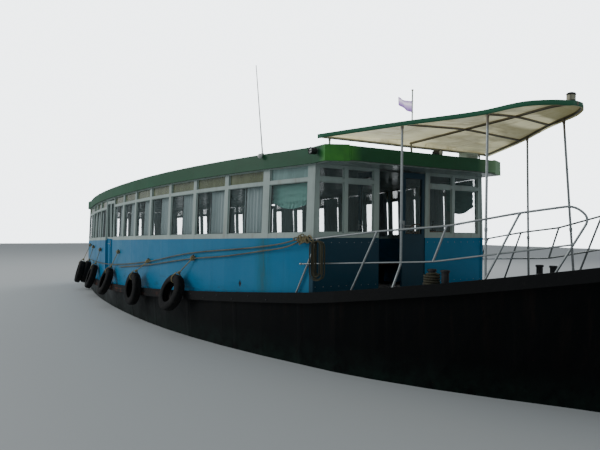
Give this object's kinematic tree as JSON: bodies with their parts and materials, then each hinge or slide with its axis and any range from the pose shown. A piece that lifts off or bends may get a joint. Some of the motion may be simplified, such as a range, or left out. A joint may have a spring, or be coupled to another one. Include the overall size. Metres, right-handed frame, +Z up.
{
  "type": "passenger ferry",
  "caption": "Small river passenger ferry with a black steel hull, long glazed blue and white cabin, green roof edge, canvas canopy over the foredeck and tyre fenders.",
  "frame": {"origin": "on the centreline at the waterline, amidships", "axes": "+X towards the bow, +Y to port, +Z up"},
  "size_m": [20.4867, 5.8172, 5.7813],
  "materials": {
    "hull_paint": "satin black",
    "blue_paint": "semi-gloss blue",
    "white_paint": "semi-gloss white",
    "green_paint": "semi-gloss green",
    "galvanised": "dull galvanised",
    "glass": "clear",
    "canvas": "woven cream sheet",
    "tyre": "worn rubber",
    "bronze": "dull bronze",
    "dark_metal": "dark painted",
    "wood": "varnished",
    "rope": "laid fibre"
  },
  "bodies": {
    "boat": {"hull": "hull_paint", "keel": "hull_paint", "rub_rail": "hull_paint", "wall_starboard": "blue_paint", "wall_aft": "blue_paint", "wall_port": "blue_paint", "front_panel_starboard": "blue_paint", "front_panel_port": "blue_paint", "window_frame_starboard": "white_paint", "window_frame_aft": "white_paint", "window_frame_port": "white_paint", "front_frame_starboard": "white_paint", "front_frame_port": "white_paint", "roof": "white_paint", "engine_casing": "white_paint", "antenna": "white_paint", "flagstaff": "white_paint", "roof_vent": "white_paint", "canopy_lamp": "white_paint", "fascia_side": "green_paint", "fascia_front": "green_paint", "canopy_frame": "galvanised", "rail_starboard": "galvanised", "rail_port": "galvanised", "glass_starboard": "glass", "glass_aft": "glass", "glass_port": "glass", "front_glass_starboard": "glass", "front_glass_port": "glass", "canopy_sheet": "canvas", "flag": "canvas", "tyre_starboard_1": "tyre", "tyre_starboard_2": "tyre", "tyre_starboard_3": "tyre", "tyre_starboard_4": "tyre", "tyre_starboard_5": "tyre", "tyre_starboard_6": "tyre", "tyre_port_1": "tyre", "tyre_port_2": "tyre", "engine": "dark_metal", "bitt_starboard": "dark_metal", "bitt_port": "dark_metal", "searchlight": "dark_metal", "fascia_lamp": "dark_metal", "helm_stand": "wood", "bench_starboard": "wood", "bench_port": "wood", "rope_hank": "rope", "rope_upper": "rope", "rope_lower": "rope"},
    "propeller": {"propeller_and_shaft": "bronze"},
    "rudder_body": {"rudder": "hull_paint"},
    "wheel": {"steering_wheel": "wood"},
    "front_leaf_starboard": {"door_front_starboard": "blue_paint"},
    "front_leaf_port": {"door_front_port": "blue_paint"},
    "leaf_starboard_forward": {"door_starboard_forward": "blue_paint"},
    "leaf_starboard_aft": {"door_starboard_aft": "blue_paint"},
    "leaf_port_forward": {"door_port_forward": "blue_paint"},
    "leaf_port_aft": {"door_port_aft": "blue_paint"},
    "casing_lid": {"engine_casing_lid": "white_paint"}
  },
  "joints": [
    {"name": "propeller_turn", "type": "hinge", "parent": "boat", "child": "propeller", "pos_m": [-8.41, 0, -0.59], "axis": [1, 0, 0], "continuous": true},
    {"name": "rudder_swing", "type": "hinge", "parent": "boat", "child": "rudder_body", "pos_m": [-8.95, 0, -0.4], "axis": [0, 0, 1], "range_deg": [-35, 35]},
    {"name": "steering_wheel_turn", "type": "hinge", "parent": "boat", "child": "wheel", "pos_m": [4.71, 0.925, 1.85654], "axis": [1, 0, 0], "range_deg": [-540, 540]},
    {"name": "door_front_starboard_swing", "type": "hinge", "parent": "boat", "child": "front_leaf_starboard", "pos_m": [5.36, -0.574, 2], "axis": [0, 0, 1], "range_deg": [-90, 0]},
    {"name": "door_front_port_swing", "type": "hinge", "parent": "boat", "child": "front_leaf_port", "pos_m": [5.36, 0.424, 2], "axis": [0, 0, 1], "range_deg": [-90, 0]},
    {"name": "door_starboard_forward_swing", "type": "hinge", "parent": "boat", "child": "leaf_starboard_forward", "pos_m": [-2.81369, -2.35399, 1.6], "axis": [0, 0, 1], "range_deg": [-90, 0]},
    {"name": "door_starboard_aft_swing", "type": "hinge", "parent": "boat", "child": "leaf_starboard_aft", "pos_m": [-3.82976, -2.26017, 1.6], "axis": [0, 0, 1], "range_deg": [0, 90]},
    {"name": "door_port_forward_swing", "type": "hinge", "parent": "boat", "child": "leaf_port_forward", "pos_m": [-2.81369, 2.35399, 1.6], "axis": [0, 0, 1], "range_deg": [0, 90]},
    {"name": "door_port_aft_swing", "type": "hinge", "parent": "boat", "child": "leaf_port_aft", "pos_m": [-3.82976, 2.26017, 1.6], "axis": [0, 0, 1], "range_deg": [-90, 0]},
    {"name": "engine_casing_lid_lift", "type": "hinge", "parent": "boat", "child": "casing_lid", "pos_m": [-1.47, 0.455, 0.9841], "axis": [1, 0, 0], "range_deg": [-95, 0]}
  ],
  "couplings": [
    {"joint": "steering_wheel_turn", "follows": "rudder_swing", "ratio": 15.4}
  ]
}
